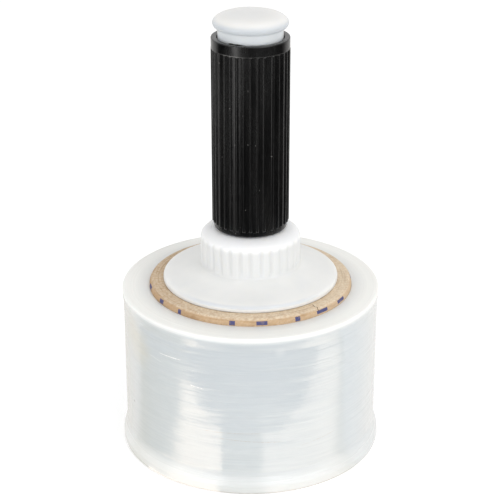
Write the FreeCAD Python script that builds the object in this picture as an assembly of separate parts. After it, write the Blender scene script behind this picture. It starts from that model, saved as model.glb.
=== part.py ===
import FreeCAD, Part
import math
import os

# Hand roll of stretch wrap, standing on its end, with a turning grip on top.
# Millimetres, +Z up along the roll's axis, origin at the middle of the bottom end.
# Azimuths are in degrees from the front, which is -Y, towards +X.

# Paper core
coreBore = 76.2
coreWall = 8.0
coreStandOut = 3.1
coreEdgeRound = 2.2
coreBoreEdgeRound = 0.5

# Wound film
filmWidth = 76.2
filmBuild = 11.95
windingGap = 0.05
footFlare = 1.75
footHeight = 3.7
footTaper = 6.4
lipFlare = 0.5
lipHeight = 2.6
lipTaper = 4.0
filmEdgeRound = 1.0
bandCount = 12
bandDepth = 0.05
bandPhase = 2.4
turnStepCount = 8
turnStepDepth = 0.16
turnStepMargin = 0.9

# Hub: flange, fluted collar and core plug in one moulding
hubWall = 2.0
flangeOverlap = 1.6
flangeEdge = 2.4
flangeEdgeRound = 1.7
flangeFootRound = 0.45
coneRise = 5.8
collarRadius = 22.575
collarHeight = 25.4
collarBaseRound = 1.1
shoulderHeight = 4.57
shoulderPower = 1.25
shoulderPoints = 8
fluteCount = 30
fluteRadius = 1.6
fluteDepth = 0.55
fluteFoot = 2.0
plugDepth = 24.0
plugGap = 0.35
plugLeadIn = 1.0

# Spindle, pushed up through the hub's collar
spindleRadius = 13.45
spindleWall = 2.0
spindleSeatGap = 0.05
spindleFootWidth = 3.6
spindleFootHeight = 2.0
spindleFootRound = 0.5
spindleRecess = 2.1

# Grip sleeve
gripLength = 87.05
gripEndGap = 0.55
gripRunGap = 0.35
gripWall = 2.87
gripRingHeight = 4.95
gripRingStep = 0.5
gripLandStep = 0.3
gripLandHeight = 1.9
gripEdgeRound = 0.35
gripMouthGap = 1.2
gripMouthDepth = 3.2
gripBoreChamfer = 0.5
ribHeight = 0.61
ribRadius = 0.78
ribsPerHalf = 17
ribPitch = 10.4
partingAzimuth = 27.9
ribEndMargin = 0.3
flashStart = -40.0
flashSweep = 31.0
flashWidth = 0.55
flashHeight = 0.4

# End cap
capPlay = 4.05
headOverhang = 2.3
headDome = 3.85
headDomePower = 5.0
headDomeRoot = 0.65
headDomePoints = 9
headUnderside = 2.4
undersideOut = 0.66
undersideRise = 0.3
headWall = 2.4
neckOverhang = 0.8
capPlugGap = 0.1
capPlugDepth = 12.0
capPlugWall = 2.0
capLeadIn = 0.8
beadHeight = 0.4
beadFromEnd = 3.6
beadGap = 0.1

# Worked out from the sizes above
coreBoreRadius = coreBore / 2
coreRadius = coreBoreRadius + coreWall
coreTop = filmWidth + coreStandOut
filmBoreRadius = coreRadius + windingGap
filmRadius = filmBoreRadius + filmBuild
flangeRadius = coreBoreRadius + flangeOverlap
coneFoot = coreTop + flangeEdge
collarTop = coreTop + collarHeight
collarFoot = coneFoot + coneRise
spindleBoreRadius = spindleRadius - spindleWall
spindleFootTop = collarTop - hubWall
plugRadius = coreBoreRadius - plugGap
plugBottom = coreTop - plugDepth
gripBottom = collarTop + gripEndGap
gripTop = gripBottom + gripLength
spindleTop = gripTop - spindleRecess
gripBoreRadius = spindleRadius + gripRunGap
gripRadius = gripBoreRadius + gripWall
gripRingRadius = gripRadius + gripRingStep
gripLandRadius = gripRadius - gripLandStep
headFoot = gripTop + capPlay
headEdge = headFoot + headUnderside
neckRadius = spindleRadius + neckOverhang
headRadius = neckRadius + headOverhang
capPlugRadius = spindleBoreRadius - capPlugGap
capPlugBottom = spindleTop - capPlugDepth
beadLevel = capPlugBottom + beadFromEnd
full = 360.0


def at(radius, height):
    return FreeCAD.Vector(radius, 0, height)


def polar(radius, azimuth, height):
    angle = math.radians(azimuth - 90)
    return FreeCAD.Vector(radius * math.cos(angle), radius * math.sin(angle), height)


def roundedCorner(before, corner, after, radius):
    # The arc of this radius that is tangent to both sides of a corner
    back = (before - corner).normalize()
    ahead = (after - corner).normalize()
    half = back.getAngle(ahead) / 2
    inward = (back + ahead).normalize()
    centre = corner + inward * (radius / math.sin(half))
    reach = radius / math.tan(half)
    return corner + back * reach, centre - inward * radius, corner + ahead * reach


def turned(outline):
    # A solid of revolution. An entry is (radius, height), the same with a
    # corner radius as third value, or a list of points for a smooth run.
    runs = []
    for entry in outline:
        if isinstance(entry, list):
            runs.append([at(r, z) for r, z in entry])
        else:
            runs.append([at(entry[0], entry[1])])
    edges = []
    ends = []
    for i, entry in enumerate(outline):
        run = runs[i]
        if isinstance(entry, list):
            curve = Part.BSplineCurve()
            curve.interpolate(run)
            ends.append((run[0], curve.toShape(), run[-1]))
        elif len(entry) == 3:
            before = runs[i - 1][-1]
            after = runs[(i + 1) % len(runs)][0]
            start, middle, end = roundedCorner(before, run[0], after, entry[2])
            ends.append((start, Part.Arc(start, middle, end).toShape(), end))
        else:
            ends.append((run[0], None, run[0]))
    for i, (start, curve, end) in enumerate(ends):
        if curve is not None:
            edges.append(curve)
        following = ends[(i + 1) % len(ends)][0]
        if (following - end).Length > 1e-6:
            edges.append(Part.LineSegment(end, following).toShape())
    face = Part.Face(Part.Wire(edges))
    return face.revolve(FreeCAD.Vector(0, 0, 0), FreeCAD.Vector(0, 0, 1), full)


def turnSteps(inner, outer, level, upward):
    # Shallow rings that the edges of the turns make on an end of the roll
    width = (outer - inner) / turnStepCount
    points = []
    for i in range(turnStepCount):
        points.append((inner + (i + 0.25) * width, level - upward * turnStepDepth))
        points.append((inner + (i + 0.75) * width, level))
    return points


def makePaperCore():
    return turned([
        (coreBoreRadius, 0, coreBoreEdgeRound),
        (coreRadius, 0, coreBoreEdgeRound),
        (coreRadius, coreTop, coreEdgeRound),
        (coreBoreRadius, coreTop, coreBoreEdgeRound),
    ])


def makeFilmRoll():
    footTop = footHeight + footTaper
    lipFoot = filmWidth - lipHeight - lipTaper
    outline = [(filmBoreRadius, 0)]
    outline += turnSteps(filmBoreRadius + turnStepMargin, filmRadius - turnStepMargin, 0, -1)
    outline.append((filmRadius + footFlare, 0, filmEdgeRound))
    outline.append((filmRadius + footFlare, footHeight))
    for i in range(bandCount + 1):
        height = footTop + (lipFoot - footTop) * i / bandCount
        swell = bandDepth * math.sin(bandPhase * i) * math.sin(math.pi * i / bandCount)
        outline.append((filmRadius + swell, height))
    outline.append((filmRadius + lipFlare, filmWidth - lipHeight))
    outline.append((filmRadius + lipFlare, filmWidth, filmEdgeRound))
    top = turnSteps(filmBoreRadius + turnStepMargin, filmRadius - turnStepMargin, filmWidth, 1)
    outline += reversed(top)
    outline.append((filmBoreRadius, filmWidth))
    return turned(outline)


def shoulderCurve():
    # Between a quarter ellipse and a straight chamfer, from the wall up to the spindle's foot
    inner = spindleRadius + hubWall
    reach = collarRadius - inner
    points = []
    for i in range(shoulderPoints + 1):
        angle = math.pi / 2 * i / shoulderPoints
        radius = inner + reach * max(0.0, math.cos(angle)) ** shoulderPower
        height = collarTop - shoulderHeight * (1 - math.sin(angle) ** shoulderPower)
        points.append((radius, height))
    return points


def makeHub():
    collarBoreRadius = collarRadius - fluteDepth - hubWall
    seatRadius = spindleRadius + spindleFootWidth + spindleFootRound
    coneSlope = coneRise / (flangeRadius - collarRadius)
    plugBoreRadius = plugRadius - hubWall
    underCone = coneFoot - hubWall + coneSlope * (flangeRadius - plugBoreRadius)
    body = turned([
        (spindleRadius + spindleSeatGap, spindleFootTop),
        (seatRadius, spindleFootTop),
        (collarBoreRadius, spindleFootTop - shoulderHeight / 2),
        (collarBoreRadius, collarFoot - hubWall, hubWall),
        (plugBoreRadius, underCone, hubWall / 2),
        (plugBoreRadius, plugBottom),
        (plugRadius - plugLeadIn / 2, plugBottom),
        (plugRadius, plugBottom + plugLeadIn),
        (plugRadius, coreTop),
        (flangeRadius, coreTop, flangeFootRound),
        (flangeRadius, coneFoot, flangeEdgeRound),
        (collarRadius, collarFoot, collarBaseRound),
        shoulderCurve(),
        (spindleRadius + spindleSeatGap, collarTop),
    ])
    return body.cut(flutes()).removeSplitter()


def flutes():
    # Round-bottomed grooves that run out in the collar's shoulder
    foot = collarFoot + fluteFoot
    up = FreeCAD.Vector(0, 0, 1)
    cutters = []
    for i in range(fluteCount):
        axis = polar(collarRadius + fluteRadius - fluteDepth, i * full / fluteCount, foot)
        shaft = Part.makeCylinder(fluteRadius, collarTop - foot, axis, up)
        cutters.append(shaft.fuse(Part.makeSphere(fluteRadius, axis)))
    return cutters


def makeSpindle():
    # A tube with a foot under the collar's top and a groove for the cap's bead in its bore
    footRadius = spindleRadius + spindleFootWidth
    grooveRadius = capPlugRadius + beadHeight + beadGap
    return turned([
        (spindleBoreRadius, spindleFootTop - spindleFootHeight),
        (footRadius, spindleFootTop - spindleFootHeight, spindleFootRound),
        (footRadius, spindleFootTop),
        (spindleRadius, spindleFootTop),
        (spindleRadius, spindleTop),
        (spindleBoreRadius, spindleTop),
        (spindleBoreRadius, beadLevel + beadHeight + beadGap),
        (grooveRadius, beadLevel + beadGap),
        (grooveRadius, beadLevel - beadGap),
        (spindleBoreRadius, beadLevel - beadHeight - beadGap),
    ])


def ribAzimuths():
    # Each mould half carries its own even row of ribs, with a wider gap at the parting lines
    gap = full / 2 - (ribsPerHalf - 1) * ribPitch
    azimuths = []
    for half in range(2):
        first = partingAzimuth + half * full / 2 + gap / 2
        azimuths += [first + i * ribPitch for i in range(ribsPerHalf)]
    return azimuths


def gripRibs():
    foot = gripBottom + gripLandHeight + ribEndMargin + ribRadius
    head = gripTop - gripRingHeight - ribEndMargin
    ribs = []
    for azimuth in ribAzimuths():
        low = polar(gripRadius + ribHeight - ribRadius, azimuth, foot)
        high = polar(gripRadius + ribHeight - ribRadius, azimuth, head)
        shaft = Part.makeCylinder(ribRadius, head - foot, low, FreeCAD.Vector(0, 0, 1))
        ribs.append(shaft.fuse([Part.makeSphere(ribRadius, low), Part.makeSphere(ribRadius, high)]))
    return ribs


def makeGripSleeve():
    mouthRadius = spindleRadius + gripMouthGap
    ringFoot = gripTop - gripRingHeight
    sleeve = turned([
        (gripBoreRadius, gripBottom + gripBoreChamfer),
        (gripBoreRadius + gripBoreChamfer, gripBottom),
        (gripLandRadius, gripBottom, gripEdgeRound),
        (gripLandRadius, gripBottom + gripLandHeight),
        (gripRadius, gripBottom + gripLandHeight + gripLandStep),
        (gripRadius, ringFoot),
        (gripRingRadius, ringFoot + gripRingStep / 2),
        (gripRingRadius, gripTop, gripEdgeRound),
        (mouthRadius, gripTop, gripEdgeRound),
        (mouthRadius, gripTop - gripMouthDepth),
        (gripBoreRadius, gripTop - gripMouthDepth - gripMouthGap + gripRunGap),
    ])
    outline = Part.makePolygon([
        at(mouthRadius, gripTop - gripEdgeRound),
        at(mouthRadius + flashWidth, gripTop - gripEdgeRound),
        at(mouthRadius + flashWidth, gripTop),
        at(mouthRadius + flashWidth / 2, gripTop + flashHeight),
        at(mouthRadius, gripTop + flashHeight / 2),
        at(mouthRadius, gripTop - gripEdgeRound),
    ])
    flash = Part.Face(outline).revolve(FreeCAD.Vector(0, 0, 0), FreeCAD.Vector(0, 0, 1), flashSweep)
    flash.rotate(FreeCAD.Vector(0, 0, 0), FreeCAD.Vector(0, 0, 1), flashStart - 90)
    return sleeve.fuse(gripRibs() + [flash]).removeSplitter()


def headDomeCurve():
    # A flat dome that turns down more and more quickly near its edge
    points = []
    for i in range(headDomePoints + 1):
        share = 1 - (1 - i / headDomePoints) ** 2
        drop = (1 - share) ** headDomePower
        points.append((headRadius * (1 - share), headEdge + headDome * (1 - drop) ** headDomeRoot))
    return points


def makeEndCap():
    plugBoreRadius = capPlugRadius - capPlugWall
    hollowTop = headEdge + headDome - headWall
    underside = [
        (neckRadius, headFoot),
        (neckRadius + undersideOut * headOverhang, headFoot + undersideRise * headUnderside),
        (headRadius, headEdge),
    ]
    return turned([
        (0, hollowTop),
        (plugBoreRadius, hollowTop, capPlugWall),
        (plugBoreRadius, capPlugBottom),
        (capPlugRadius - capLeadIn / 2, capPlugBottom),
        (capPlugRadius, capPlugBottom + capLeadIn),
        (capPlugRadius, beadLevel - beadHeight),
        (capPlugRadius + beadHeight, beadLevel),
        (capPlugRadius, beadLevel + beadHeight),
        (capPlugRadius, spindleTop),
        (spindleRadius, spindleTop),
        underside,
        headDomeCurve(),
    ])


parts = {
    "paper_core": makePaperCore(),
    "film_roll": makeFilmRoll(),
    "hub": makeHub(),
    "spindle": makeSpindle(),
    "grip_sleeve": makeGripSleeve(),
    "end_cap": makeEndCap(),
}

os.makedirs("parts", exist_ok=True)
for name, shape in parts.items():
    shape.exportStep("parts/" + name + ".step")
    box = shape.BoundBox
    print(name, len(shape.Solids), shape.isValid(), round(shape.Volume), round(box.ZMin, 2), round(box.ZMax, 2))
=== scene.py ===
import bmesh
import bpy
import math
import numpy as np
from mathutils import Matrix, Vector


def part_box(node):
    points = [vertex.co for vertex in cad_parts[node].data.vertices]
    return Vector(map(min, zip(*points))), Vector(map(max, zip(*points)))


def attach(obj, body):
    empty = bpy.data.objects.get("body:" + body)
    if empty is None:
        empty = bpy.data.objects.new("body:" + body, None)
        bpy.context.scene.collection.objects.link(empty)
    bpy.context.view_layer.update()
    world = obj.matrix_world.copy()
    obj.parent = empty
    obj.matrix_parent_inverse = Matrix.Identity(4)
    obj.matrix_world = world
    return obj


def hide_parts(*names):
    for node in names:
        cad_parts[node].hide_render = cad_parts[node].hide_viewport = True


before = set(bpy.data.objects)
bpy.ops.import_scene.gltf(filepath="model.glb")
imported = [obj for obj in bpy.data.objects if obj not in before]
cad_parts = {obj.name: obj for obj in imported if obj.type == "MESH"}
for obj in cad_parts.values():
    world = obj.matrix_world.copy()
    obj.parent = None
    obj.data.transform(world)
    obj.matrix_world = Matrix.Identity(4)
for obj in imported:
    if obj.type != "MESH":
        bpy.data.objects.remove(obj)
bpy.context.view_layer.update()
mm = 0.001
tau = 2 * math.pi
# lengths in metres: a radius that is not zero, and room round a chosen surface
tiny = 0.0001
slack = 0.00002

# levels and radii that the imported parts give, in millimetres
def top(node):
    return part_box(node)[1].z / mm


def bottom(node):
    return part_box(node)[0].z / mm


levels = {
    "coreTop": top("paper_core"),
    "filmTop": top("film_roll"),
    "collarTop": top("hub"),
    "plugBottom": bottom("hub"),
    "gripBottom": bottom("grip_sleeve"),
    "spindleTop": top("spindle"),
    "capBottom": bottom("end_cap"),
    "capTop": top("end_cap"),
}


# outlines and turned meshes
def arcPoints(before, corner, after, radius, count):
    back = (before - corner) / np.linalg.norm(before - corner)
    ahead = (after - corner) / np.linalg.norm(after - corner)
    half = math.acos(max(-1.0, min(1.0, float(back @ ahead)))) / 2
    inward = (back + ahead) / np.linalg.norm(back + ahead)
    centre = corner + inward * radius / math.sin(half)
    reach = radius / math.tan(half)
    first = corner + back * reach - centre
    last = corner + ahead * reach - centre
    sweep = math.pi - 2 * half
    points = []
    for i in range(count + 1):
        a = sweep * i / count
        points.append(centre + (first * math.sin(sweep - a) + last * math.sin(a)) / math.sin(sweep))
    return points


def outlinePoints(corners, step=4.0, arcSteps=7):
    # corners are (radius, height) or (radius, height, rounding), in mm; a list is a run of plain points
    flat = []
    for entry in corners:
        if isinstance(entry, list):
            flat += [(np.array(p, float), 0) for p in entry]
        else:
            flat.append((np.array(entry[:2], float), entry[2] if len(entry) == 3 else 0))
    points = []
    for i, (corner, rounding) in enumerate(flat):
        if rounding:
            before = flat[i - 1][0]
            after = flat[(i + 1) % len(flat)][0]
            points += arcPoints(before, corner, after, rounding, arcSteps)
        else:
            points.append(corner)
    dense = []
    for i, point in enumerate(points):
        following = points[(i + 1) % len(points)]
        count = max(1, int(np.linalg.norm(following - point) / step))
        dense += [point + (following - point) * k / count for k in range(count)]
    return np.array(dense)


def turnedMesh(name, outline, angles):
    # a closed outline turned about Z; angles are azimuths in radians from -Y towards +X
    rows = len(outline)
    columns = len(angles)
    radius, height = outline[:, 0] * mm, outline[:, 1] * mm
    x = radius[:, None] * np.sin(angles)[None, :]
    y = -radius[:, None] * np.cos(angles)[None, :]
    z = np.repeat(height[:, None], columns, axis=1)
    vertices = np.stack([x, y, z], axis=-1).reshape(-1, 3)
    i = np.arange(rows)[:, None]
    j = np.arange(columns)[None, :]
    nextRow = (i + 1) % rows
    nextColumn = (j + 1) % columns
    corners = [(i, j), (nextRow, j), (nextRow, nextColumn), (i, nextColumn)]
    quads = np.stack([row * columns + column for row, column in corners], axis=-1).reshape(-1, 4)
    mesh = bpy.data.meshes.new(name)
    mesh.from_pydata(vertices.tolist(), [], quads.tolist())
    return cleaned(name, mesh)


def cleaned(name, mesh, sharpAngle=38):
    form = bmesh.new()
    form.from_mesh(mesh)
    bmesh.ops.remove_doubles(form, verts=form.verts, dist=1e-6)
    bmesh.ops.dissolve_degenerate(form, edges=form.edges, dist=1e-7)
    bmesh.ops.recalc_face_normals(form, faces=form.faces)
    form.to_mesh(mesh)
    form.free()
    mesh.shade_smooth()
    mesh.set_sharp_from_angle(angle=math.radians(sharpAngle))
    piece = bpy.data.objects.new(name, mesh)
    bpy.context.scene.collection.objects.link(piece)
    return piece


def evenAngles(count):
    return np.arange(count) * tau / count


# node helpers; a Value is a node's output that can be used in sums
class Value:
    def __init__(self, socket):
        self.socket = socket

    def __add__(self, other):
        return calc("ADD", self, other)

    def __sub__(self, other):
        return calc("SUBTRACT", self, other)

    def __rsub__(self, other):
        return calc("SUBTRACT", other, self)

    def __mul__(self, other):
        return calc("MULTIPLY", self, other)

    def __truediv__(self, other):
        return calc("DIVIDE", self, other)

    def __rtruediv__(self, other):
        return calc("DIVIDE", other, self)

    def __neg__(self):
        return calc("MULTIPLY", self, -1.0)

    def __abs__(self):
        return calc("ABSOLUTE", self)


def feed(node, inputs):
    # sets a node's inputs by name or number: a number, a vector, a colour or another node's value
    for label, value in inputs.items():
        socket = node.inputs[label]
        if isinstance(value, Value):
            socket.id_data.links.new(value.socket, socket)
        elif socket.type == "RGBA":
            socket.default_value = (*value[:3], 1.0)
        else:
            socket.default_value = value


def addNode(tree, kind, inputs, **settings):
    node = tree.nodes.new(kind)
    for label, value in settings.items():
        setattr(node, label, value)
    feed(node, inputs)
    return node


def treeOf(values):
    # the tree that the first node value among these belongs to
    return next(value for value in values if isinstance(value, Value)).socket.id_data


def nodeValue(kind, inputs, output=0, **settings):
    return Value(addNode(treeOf(inputs.values()), kind, inputs, **settings).outputs[output])


def sumNode(kind, values, **settings):
    # a node whose inputs in use take these values in turn; gives its output in use
    node = addNode(treeOf(values), kind, {}, **settings)
    used = [i for i, socket in enumerate(node.inputs) if socket.enabled]
    feed(node, dict(zip(used, values)))
    return Value([socket for socket in node.outputs if socket.enabled][0])


def calc(operation, *values):
    return sumNode("ShaderNodeMath", values, operation=operation)


def vectorCalc(operation, *values):
    return sumNode("ShaderNodeVectorMath", values, operation=operation)


def mixColour(factor, first, second):
    return sumNode("ShaderNodeMix", (factor, first, second), data_type="RGBA")


def join(x, y, z):
    return sumNode("ShaderNodeCombineXYZ", (x, y, z))


def split(vector):
    node = addNode(treeOf([vector]), "ShaderNodeSeparateXYZ", {0: vector})
    return [Value(socket) for socket in node.outputs]


def azimuthOf(x, y):
    return calc("ARCTAN2", x, -y)


def radiusOf(x, y):
    return calc("SQRT", x * x + y * y)


def noiseOf(vector, detail=2.0, roughness=0.5):
    inputs = {"Vector": vector, "Scale": 1.0, "Detail": detail, "Roughness": roughness}
    return nodeValue("ShaderNodeTexNoise", inputs)


def rampOf(value, low, high):
    # a smooth step from 0 at low to 1 at high
    inputs = {"Value": value, "From Min": low, "From Max": high}
    return nodeValue("ShaderNodeMapRange", inputs, interpolation_type="SMOOTHSTEP")


def layerMask(z, low, high, soft):
    # 1 between two heights in mm, with soft ends
    above = rampOf(z, (low - soft) * mm, (low + soft) * mm)
    return above - rampOf(z, (high - soft) * mm, (high + soft) * mm)


# geometry node helpers
def geometryTree(name, sizes):
    # gives the tree's own inputs by name
    tree = bpy.data.node_groups.new(name, "GeometryNodeTree")
    tree.interface.new_socket("Geometry", in_out="OUTPUT", socket_type="NodeSocketGeometry")
    kinds = {"Geometry": "Geometry", "Material": "Material", **dict.fromkeys(sizes, "Float")}
    for label, kind in kinds.items():
        tree.interface.new_socket(label, in_out="INPUT", socket_type="NodeSocket" + kind)
    source = tree.nodes.new("NodeGroupInput")
    return {socket.name: Value(socket) for socket in source.outputs if socket.name}


def fieldOf(given, kind):
    # the position or the normal of each point
    return Value(treeOf(given.values()).nodes.new("GeometryNodeInput" + kind).outputs[0])


def closeTree(given, **shift):
    # moves the points as shift says and ends the tree
    moved = nodeValue("GeometryNodeSetPosition", {"Geometry": given["Geometry"], **shift})
    real = nodeValue("GeometryNodeRealizeInstances", {"Geometry": moved})
    painted = nodeValue("GeometryNodeSetMaterial", {"Geometry": real, "Material": given["Material"]})
    return addNode(treeOf([painted]), "NodeGroupOutput", {"Geometry": painted}).id_data


def reliefTree(name, label, heightOf):
    # lifts each point along its normal by a height that is given by its position, times the named size
    given = geometryTree(name, [label])
    lift = heightOf(fieldOf(given, "Position")) * given[label]
    return closeTree(given, Offset=vectorCalc("SCALE", fieldOf(given, "Normal"), lift))


def runTree(piece, tree, sizes, material):
    modifier = piece.modifiers.new(tree.name, "NODES")
    modifier.node_group = tree
    for item in tree.interface.items_tree:
        if item.item_type == "SOCKET" and item.in_out == "INPUT" and item.name in sizes:
            modifier[item.identifier] = float(sizes[item.name])
        if item.item_type == "SOCKET" and item.name == "Material":
            modifier[item.identifier] = material
    bpy.context.view_layer.update()
    shaped = bpy.data.meshes.new_from_object(piece.evaluated_get(bpy.context.evaluated_depsgraph_get()))
    piece.modifiers.remove(modifier)
    piece.data = shaped
    return piece


# shader helpers
def newMaterial(name):
    material = bpy.data.materials.new(name)
    material.use_nodes = True
    tree = material.node_tree
    place = tree.nodes.new("ShaderNodeTexCoord")
    return material, tree.nodes["Principled BSDF"], Value(place.outputs["Object"])


def shaderGroup(name, inputs, output):
    group = bpy.data.node_groups.new(name, "ShaderNodeTree")
    for label, value in inputs.items():
        kind = "NodeSocketVector" if isinstance(value, tuple) else "NodeSocketFloat"
        socket = group.interface.new_socket(label, in_out="INPUT", socket_type=kind)
        socket.default_value = value
    group.interface.new_socket(output, in_out="OUTPUT", socket_type="NodeSocketFloat")
    source = group.nodes.new("NodeGroupInput")
    return group, {socket.name: Value(socket) for socket in source.outputs if socket.name}


def useGroup(group, vector, **values):
    return nodeValue("ShaderNodeGroup", {"Vector": vector, **values}, node_tree=group)


def bumpFrom(height, distance, strength):
    return nodeValue("ShaderNodeBump", {"Height": height, "Distance": distance, "Strength": strength})


def stretchedNoiseGroup():
    # noise with its own scale along and across the roll, cut to a 0 to 1 mask
    nowhere, unit = (0.0, 0.0, 0.0), (1.0, 1.0, 1.0)
    inputs = {"Vector": nowhere, "Scales": unit, "Detail": 3.0, "Low": 0.3, "High": 0.7, "Seed": 0.0}
    group, given = shaderGroup("stretchedNoise", inputs, "Value")
    scaled = vectorCalc("MULTIPLY", given["Vector"], given["Scales"])
    moved = vectorCalc("ADD", scaled, join(given["Seed"], given["Seed"], 0.0))
    mask = rampOf(noiseOf(moved, given["Detail"]), given["Low"], given["High"])
    addNode(group, "NodeGroupOutput", {"Value": mask})
    return group


def speckGroup():
    # scattered small specks; Size is the radius as a share of the cell
    inputs = {"Vector": (0.0, 0.0, 0.0), "Scales": (1.0, 1.0, 1.0), "Size": 0.15, "Share": 0.3}
    group, given = shaderGroup("specks", inputs, "Mask")
    scaled = vectorCalc("MULTIPLY", given["Vector"], given["Scales"])
    cells = addNode(group, "ShaderNodeTexVoronoi", {"Vector": scaled, "Scale": 1.0})
    near = calc("LESS_THAN", Value(cells.outputs["Distance"]), given["Size"])
    red = nodeValue("ShaderNodeSeparateColor", {0: Value(cells.outputs["Color"])})
    chosen = calc("LESS_THAN", red, given["Share"])
    addNode(group, "NodeGroupOutput", {"Mask": near * chosen})
    return group


stretchedNoise = stretchedNoiseGroup()
specks = speckGroup()


def noiseMask(where, scales, detail, low, high, seed=0.0):
    return useGroup(stretchedNoise, where, Scales=scales, Detail=detail, Low=low, High=high, Seed=seed)


def speckMask(where, scales, size, share):
    return useGroup(specks, where, Scales=scales, Size=size, Share=share)


def wallOffset(x, y, z, radius, azimuth, height):
    # how far a point on a round wall is from a place on it, round the wall and up, in mm
    return (azimuthOf(x, y) - math.radians(azimuth)) * radius, z * (1 / mm) - height


def streakMask(x, y, z, radius, first, last, half):
    # a short ragged line on a round wall between two places, each (azimuth in degrees, height in mm)
    middle = ((first[0] + last[0]) / 2, (first[1] + last[1]) / 2)
    reach = (math.radians(last[0] - first[0]) * radius, last[1] - first[1])
    length = math.hypot(*reach)
    side, rise = wallOffset(x, y, z, radius, *middle)
    ahead, across = reach[0] / length, reach[1] / length
    along = side * ahead + rise * across
    noise = noiseOf(join(along * 1.1, middle[0], 0.0), detail=3.0)
    off = rise * ahead - side * across + (noise - 0.5) * (1.2 * half)
    width = noise * noise * (half * 4)
    short = rampOf(-abs(along), -length / 2, -length / 2 * 0.8)
    return rampOf(width - abs(off), 0.0, half * 0.5) * short


def spotMask(x, y, z, radius, place, size):
    # a round spot on a round wall; place is (azimuth in degrees, height in mm), size its radius in mm
    distance = radiusOf(*wallOffset(x, y, z, radius, *place))
    return rampOf(-distance, -size, -size * 0.15)


print("helpers and shader groups ready")

# black moulded plastic of the grip
grip = {
    "length": 87.05, "radius": 16.67, "ringRadius": 17.17, "ringHeight": 4.95, "ringStep": 0.25,
    "landRadius": 16.37, "landHeight": 1.9, "edgeRound": 0.35, "bore": 13.8, "chamfer": 0.5,
    "mouth": 14.65, "mouthDepth": 3.2, "mouthChamfer": 0.6, "ribHeight": 0.61, "ribRadius": 0.78,
    "ribsPerHalf": 17, "pitch": 10.4, "parting": 27.9, "ribMargin": 0.3, "fillet": 0.16,
}
ringFoot = levels["gripBottom"] + grip["length"] - grip["ringHeight"]
gripFinish = {
    "colour": (0.0022, 0.0022, 0.0023),
    "scuffColour": (0.0115, 0.0110, 0.0105),
    "dustColour": (0.22, 0.21, 0.20),
    "spotColour": (0.30, 0.29, 0.27),
    # this entry and the next three paint a highlight along the ring's lower edge
    "ringEdgeHighlightColour": (0.11, 0.107, 0.103),
    "ringEdgeHighlightBand": (ringFoot + 0.05, ringFoot + 0.55, 0.12),
    "ringEdgeHighlightRadii": (16.6 * mm, 16.9 * mm),
    "ringEdgeHighlightPeak": (17.2, (-29.0, ringFoot), 7.0),
    "roughness": 0.17,
    "specular": 0.40,
    "spotRadius": 16.9,
    "spots": [((32.6, 142.6), 0.35), ((13.4, 127.6), 0.3), ((-7.4, 118.4), 0.3)],
    "grain": 0.00002,
}


def makeBlackPlastic():
    material, shader, where = newMaterial("blackPlastic")
    haze = noiseMask(where, (160.0, 160.0, 22.0), 4.0, 0.35, 0.8)
    fine = noiseMask(where, (1400.0, 1400.0, 300.0), 3.0, 0.3, 0.75)
    dust = speckMask(where, (900.0, 900.0, 420.0), 0.16, 0.035)
    base = mixColour(haze * 0.5, gripFinish["colour"], gripFinish["scuffColour"])
    base = mixColour(dust * 0.4, base, gripFinish["dustColour"])
    x, y, z = split(where)
    for spot in gripFinish["spots"]:
        mask = spotMask(x, y, z, gripFinish["spotRadius"], *spot)
        base = mixColour(mask * 0.5, base, gripFinish["spotColour"])
    # a painted highlight along the lower edge of the ring, strongest towards the front left
    ringEdgeHighlight = layerMask(z, *gripFinish["ringEdgeHighlightBand"]) * rampOf(radiusOf(x, y), *gripFinish["ringEdgeHighlightRadii"])
    highlightWeight = spotMask(x, y, z, *gripFinish["ringEdgeHighlightPeak"]) * 0.75 + 0.22
    feed(shader, {
        "Base Color": mixColour(ringEdgeHighlight * highlightWeight, base, gripFinish["ringEdgeHighlightColour"]),
        "Roughness": haze * 0.10 + gripFinish["roughness"] + fine * 0.06,
        "Specular IOR Level": gripFinish["specular"],
        "Normal": bumpFrom(fine, gripFinish["grain"], 0.5),
    })
    return material


# white moulded plastic, one material each for the hub, the spindle and the cap
whiteFinish = {
    "colour": (0.855, 0.85, 0.82),
    "shadeColour": (0.80, 0.805, 0.785),
    "capColour": (0.775, 0.77, 0.755),
    "capShade": (0.755, 0.755, 0.745),
    # painted shade on the cap's rim
    "rimShadeColour": (0.54, 0.57, 0.60),
    # painted shade on the collar
    "collarShadeColour": (0.765, 0.77, 0.76),
    # painted shade on the cap's neck
    "neckShadeColour": (0.73, 0.76, 0.775),
    # painted light on the shoulder under the grip
    "shoulderLightColour": (0.95, 0.95, 0.94),
    # painted cool shade on the front of the flange's rounded edge
    "edgeShadeColour": (0.61, 0.645, 0.69),
    # painted shadow line under the flange's edge
    "flangeShadowColour": (0.40, 0.37, 0.33),
    "grimeColour": (0.45, 0.42, 0.36),
    "collarShadeBand": (levels["coreTop"] + 8.5, levels["collarTop"] - 4.5, 1.0),
    "edgeShadeBand": (levels["coreTop"] + 1.7, levels["coreTop"] + 2.8, 0.35),
    "flangeShadowBand": (levels["coreTop"] - 1.0, levels["coreTop"] + 0.4, 0.15),
    "shoulder": ((levels["collarTop"] - 6.0) * mm, (levels["collarTop"] - 3.0) * mm),
    "edge": (37.6 * mm, 38.2 * mm),
    "front": (20.0 * mm, 34.0 * mm),
    "rim": levels["capTop"] - 3.85,
    "neckShadeBelow": 1.4,
    "neckShadeFade": 2.8 * mm,
    "roughness": 0.30,
    "subsurface": 0.6,
    "subsurfaceRadii": (1.0, 0.95, 0.85),
    "subsurfaceScale": 0.006,
    "grain": 0.00004,
}


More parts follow.
